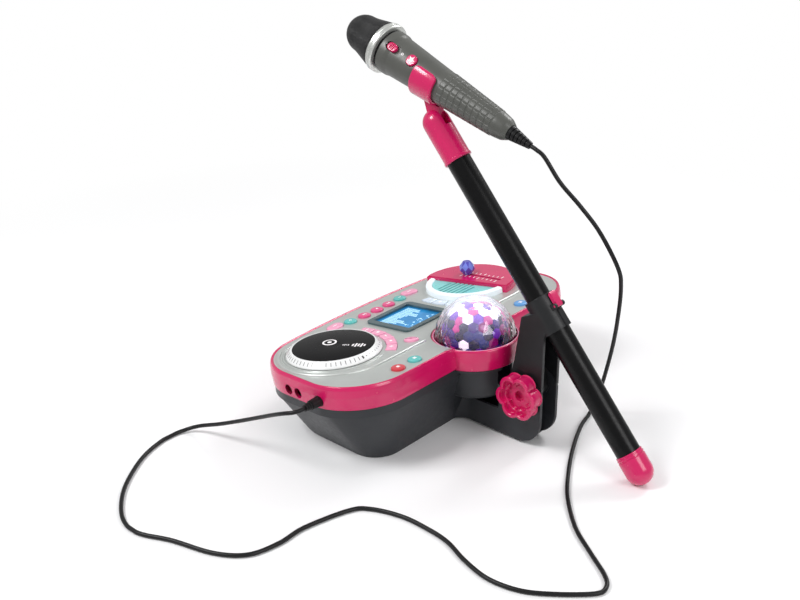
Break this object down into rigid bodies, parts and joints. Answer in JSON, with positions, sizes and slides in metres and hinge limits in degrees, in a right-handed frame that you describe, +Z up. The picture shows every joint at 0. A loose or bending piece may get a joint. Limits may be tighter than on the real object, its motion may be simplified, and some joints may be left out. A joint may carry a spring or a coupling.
{
  "type": "toy karaoke console with microphone stand",
  "caption": "Toy karaoke console with scratch platter, light dome, fader, keys and screen, and a corded microphone in a clip on a leaning pole.",
  "frame": {"origin": "on the table under the middle of the console, on the line of the two disc centres", "axes": "+X along the console towards the scratch platter, +Y to its rear and the stand, +Z up"},
  "size_m": [0.5312, 0.4565, 0.3874],
  "materials": {
    "charcoal_plastic": "satin moulded, fine grain",
    "pink_gloss": "glossy moulded",
    "silver_panel": "silver lacquered plastic",
    "chrome_trim": "bright plated",
    "display_frame": "dark teal grey, glossy",
    "display_screen": "blue backlit screen behind a clear window",
    "circuit_board": "solder resist",
    "teal_grille": "satin",
    "light_guide": "milky, glowing",
    "speaker_black": "paper cone and steel basket",
    "faceted_gem": "clear violet, faceted",
    "clear_dome": "clear plastic with moulded facets",
    "mirror_facets": "violet, navy and magenta facets",
    "steel": "plated",
    "white_plastic": "glossy moulded",
    "black_face": "glossy black label",
    "socket_plastic": "dark red",
    "black_plastic": "semi-gloss moulded",
    "handle_grey": "satin moulded",
    "mesh_black": "black moulded mesh",
    "control_pink": "glossy moulded",
    "cable_black": "satin vinyl",
    "key_pink": "glossy",
    "key_teal": "glossy",
    "key_pale_pink": "glossy",
    "key_white": "glossy",
    "key_red": "glossy",
    "key_blue": "glossy"
  },
  "bodies": {
    "console": {"lower_shell": "charcoal_plastic", "battery_door": "charcoal_plastic", "side_band": "pink_gloss", "dome_collar": "pink_gloss", "top_panel": "silver_panel", "trim_strips": "chrome_trim", "lcd_frame": "display_frame", "lcd_module": "display_screen", "main_board": "circuit_board", "speaker_grille": "teal_grille", "light_ring": "light_guide", "speaker": "speaker_black", "fader_plate": "pink_gloss", "dome_lens": "clear_dome", "disco_motor": "steel", "jack_sockets": "socket_plastic", "case_screws": "steel", "mic_cable": "cable_black", "mic_plug": "cable_black"},
    "scratch_disc": {"platter": "white_plastic", "platter_pad": "black_face"},
    "ball": {"disco_ball": "mirror_facets"},
    "pinion": {"motor_pinion": "white_plastic"},
    "fader": {"fader_knob": "faceted_gem"},
    "bracket": {"stand_bracket": "black_plastic"},
    "clamp": {"clamp_knob": "pink_gloss"},
    "latch": {"height_latch": "pink_gloss"},
    "mast": {"pole": "black_plastic", "pole_foot": "pink_gloss", "pole_cap": "pink_gloss"},
    "clip": {"mic_clip": "pink_gloss"},
    "mic": {"mic_handle": "handle_grey", "mic_head": "mesh_black", "mic_ring": "chrome_trim", "mic_relief": "cable_black"},
    "mic_slider": {"mic_switch": "control_pink"},
    "mic_push": {"mic_button": "control_pink"},
    "row_key_1_body": {"row_key_1": "key_pink"},
    "row_key_2_body": {"row_key_2": "key_pink"},
    "row_key_3_body": {"row_key_3": "key_pink"},
    "row_key_4_body": {"row_key_4": "key_teal"},
    "row_key_5_body": {"row_key_5": "key_teal"},
    "near_wide_key_body": {"near_wide_key": "key_pale_pink"},
    "far_wide_key_body": {"far_wide_key": "key_pale_pink"},
    "near_arc_key_1_body": {"near_arc_key_1": "key_pale_pink"},
    "near_arc_key_2_body": {"near_arc_key_2": "key_pale_pink"},
    "near_arc_key_3_body": {"near_arc_key_3": "key_pale_pink"},
    "near_arc_key_4_body": {"near_arc_key_4": "key_pale_pink"},
    "near_arc_key_5_body": {"near_arc_key_5": "key_pale_pink"},
    "far_arc_key_1_body": {"far_arc_key_1": "key_white"},
    "far_arc_key_2_body": {"far_arc_key_2": "key_white"},
    "far_arc_key_3_body": {"far_arc_key_3": "key_white"},
    "far_arc_key_4_body": {"far_arc_key_4": "key_white"},
    "far_arc_key_5_body": {"far_arc_key_5": "key_white"},
    "near_leaf_key_body": {"near_leaf_key": "key_pale_pink"},
    "far_leaf_key_body": {"far_leaf_key": "key_pale_pink"},
    "near_outer_key_body": {"near_outer_key": "key_red"},
    "far_outer_key_body": {"far_outer_key": "key_red"},
    "near_inner_key_body": {"near_inner_key": "key_teal"},
    "far_inner_key_body": {"far_inner_key": "key_blue"}
  },
  "joints": [
    {"name": "stand_tilt", "type": "hinge", "parent": "console", "child": "bracket", "pos_m": [0, 0.166, 0.057], "axis": [1, 0, 0], "range_deg": [0, 20], "deforming": ["mic_cable"]},
    {"name": "pole_slide", "type": "slide", "parent": "bracket", "child": "mast", "axis": [0, -0.6534, 0.757], "range_m": [0, 0.1]},
    {"name": "clip_tilt", "type": "hinge", "parent": "mast", "child": "clip", "pos_m": [0, 0.0416, 0.2975], "axis": [1, 0, 0], "range_deg": [-15, 20]},
    {"name": "mic_slide", "type": "slide", "parent": "clip", "child": "mic", "axis": [0, -0.9397, 0.342], "range_m": [0, 0.09]},
    {"name": "scratch_spin", "type": "hinge", "parent": "console", "child": "scratch_disc", "pos_m": [0.1055, 0, 0.081], "axis": [0, -0.1323, 0.9912], "continuous": true},
    {"name": "ball_spin", "type": "hinge", "parent": "console", "child": "ball", "pos_m": [0, 0.0933, 0.0893], "axis": [0, -0.0802, 0.9968], "continuous": true},
    {"name": "pinion_spin", "type": "hinge", "parent": "console", "child": "pinion", "pos_m": [0.02015, 0.0933, 0.0893], "axis": [0, -0.0802, 0.9968], "continuous": true},
    {"name": "fader_slide", "type": "slide", "parent": "console", "child": "fader", "axis": [0, 0.9912, 0.1323], "range_m": [-0.004, 0.044]},
    {"name": "clamp_turn", "type": "hinge", "parent": "console", "child": "clamp", "pos_m": [0, 0.166, 0.057], "axis": [1, 0, 0], "range_deg": [-180, 180]},
    {"name": "latch_lift", "type": "hinge", "parent": "bracket", "child": "latch", "pos_m": [0, 0.18934, 0.15236], "axis": [-1, 0, 0], "range_deg": [0, 50]},
    {"name": "switch_slide", "type": "slide", "parent": "mic", "child": "mic_slider", "axis": [0, -0.9397, 0.342], "range_m": [-0.003, 0]},
    {"name": "button_press", "type": "slide", "parent": "mic", "child": "mic_push", "axis": [-0.7431, -0.2289, -0.6288], "range_m": [0, 0.001], "stiffness_N_per_m": 400},
    {"name": "row_key_1_press", "type": "slide", "parent": "console", "child": "row_key_1_body", "axis": [0, 0.1323, -0.9912], "range_m": [0, 0.0015], "stiffness_N_per_m": 400},
    {"name": "row_key_2_press", "type": "slide", "parent": "console", "child": "row_key_2_body", "axis": [0, 0.1323, -0.9912], "range_m": [0, 0.0015], "stiffness_N_per_m": 400},
    {"name": "row_key_3_press", "type": "slide", "parent": "console", "child": "row_key_3_body", "axis": [0, 0.1323, -0.9912], "range_m": [0, 0.0015], "stiffness_N_per_m": 400},
    {"name": "row_key_4_press", "type": "slide", "parent": "console", "child": "row_key_4_body", "axis": [0, 0.1323, -0.9912], "range_m": [0, 0.0015], "stiffness_N_per_m": 400},
    {"name": "row_key_5_press", "type": "slide", "parent": "console", "child": "row_key_5_body", "axis": [0, 0.1323, -0.9912], "range_m": [0, 0.0015], "stiffness_N_per_m": 400},
    {"name": "near_wide_key_press", "type": "slide", "parent": "console", "child": "near_wide_key_body", "axis": [0, 0.1323, -0.9912], "range_m": [0, 0.0015], "stiffness_N_per_m": 400},
    {"name": "far_wide_key_press", "type": "slide", "parent": "console", "child": "far_wide_key_body", "axis": [0, 0.1323, -0.9912], "range_m": [0, 0.0015], "stiffness_N_per_m": 400},
    {"name": "near_arc_key_1_press", "type": "slide", "parent": "console", "child": "near_arc_key_1_body", "axis": [0, 0.1323, -0.9912], "range_m": [0, 0.0015], "stiffness_N_per_m": 400},
    {"name": "near_arc_key_2_press", "type": "slide", "parent": "console", "child": "near_arc_key_2_body", "axis": [0, 0.1323, -0.9912], "range_m": [0, 0.0015], "stiffness_N_per_m": 400},
    {"name": "near_arc_key_3_press", "type": "slide", "parent": "console", "child": "near_arc_key_3_body", "axis": [0, 0.1323, -0.9912], "range_m": [0, 0.0015], "stiffness_N_per_m": 400},
    {"name": "near_arc_key_4_press", "type": "slide", "parent": "console", "child": "near_arc_key_4_body", "axis": [0, 0.1323, -0.9912], "range_m": [0, 0.0015], "stiffness_N_per_m": 400},
    {"name": "near_arc_key_5_press", "type": "slide", "parent": "console", "child": "near_arc_key_5_body", "axis": [0, 0.1323, -0.9912], "range_m": [0, 0.0015], "stiffness_N_per_m": 400},
    {"name": "far_arc_key_1_press", "type": "slide", "parent": "console", "child": "far_arc_key_1_body", "axis": [0, 0.1323, -0.9912], "range_m": [0, 0.0015], "stiffness_N_per_m": 400},
    {"name": "far_arc_key_2_press", "type": "slide", "parent": "console", "child": "far_arc_key_2_body", "axis": [0, 0.1323, -0.9912], "range_m": [0, 0.0015], "stiffness_N_per_m": 400},
    {"name": "far_arc_key_3_press", "type": "slide", "parent": "console", "child": "far_arc_key_3_body", "axis": [0, 0.1323, -0.9912], "range_m": [0, 0.0015], "stiffness_N_per_m": 400},
    {"name": "far_arc_key_4_press", "type": "slide", "parent": "console", "child": "far_arc_key_4_body", "axis": [0, 0.1323, -0.9912], "range_m": [0, 0.0015], "stiffness_N_per_m": 400},
    {"name": "far_arc_key_5_press", "type": "slide", "parent": "console", "child": "far_arc_key_5_body", "axis": [0, 0.1323, -0.9912], "range_m": [0, 0.0015], "stiffness_N_per_m": 400},
    {"name": "near_leaf_key_press", "type": "slide", "parent": "console", "child": "near_leaf_key_body", "axis": [0, 0.1323, -0.9912], "range_m": [0, 0.0015], "stiffness_N_per_m": 400},
    {"name": "far_leaf_key_press", "type": "slide", "parent": "console", "child": "far_leaf_key_body", "axis": [0, 0.1323, -0.9912], "range_m": [0, 0.0015], "stiffness_N_per_m": 400},
    {"name": "near_outer_key_press", "type": "slide", "parent": "console", "child": "near_outer_key_body", "axis": [0, 0.1323, -0.9912], "range_m": [0, 0.0015], "stiffness_N_per_m": 400},
    {"name": "far_outer_key_press", "type": "slide", "parent": "console", "child": "far_outer_key_body", "axis": [0, 0.1323, -0.9912], "range_m": [0, 0.0015], "stiffness_N_per_m": 400},
    {"name": "near_inner_key_press", "type": "slide", "parent": "console", "child": "near_inner_key_body", "axis": [0, 0.1323, -0.9912], "range_m": [0, 0.0015], "stiffness_N_per_m": 400},
    {"name": "far_inner_key_press", "type": "slide", "parent": "console", "child": "far_inner_key_body", "axis": [0, 0.1323, -0.9912], "range_m": [0, 0.0015], "stiffness_N_per_m": 400}
  ],
  "couplings": [
    {"joint": "pinion_spin", "follows": "ball_spin", "ratio": -3}
  ]
}
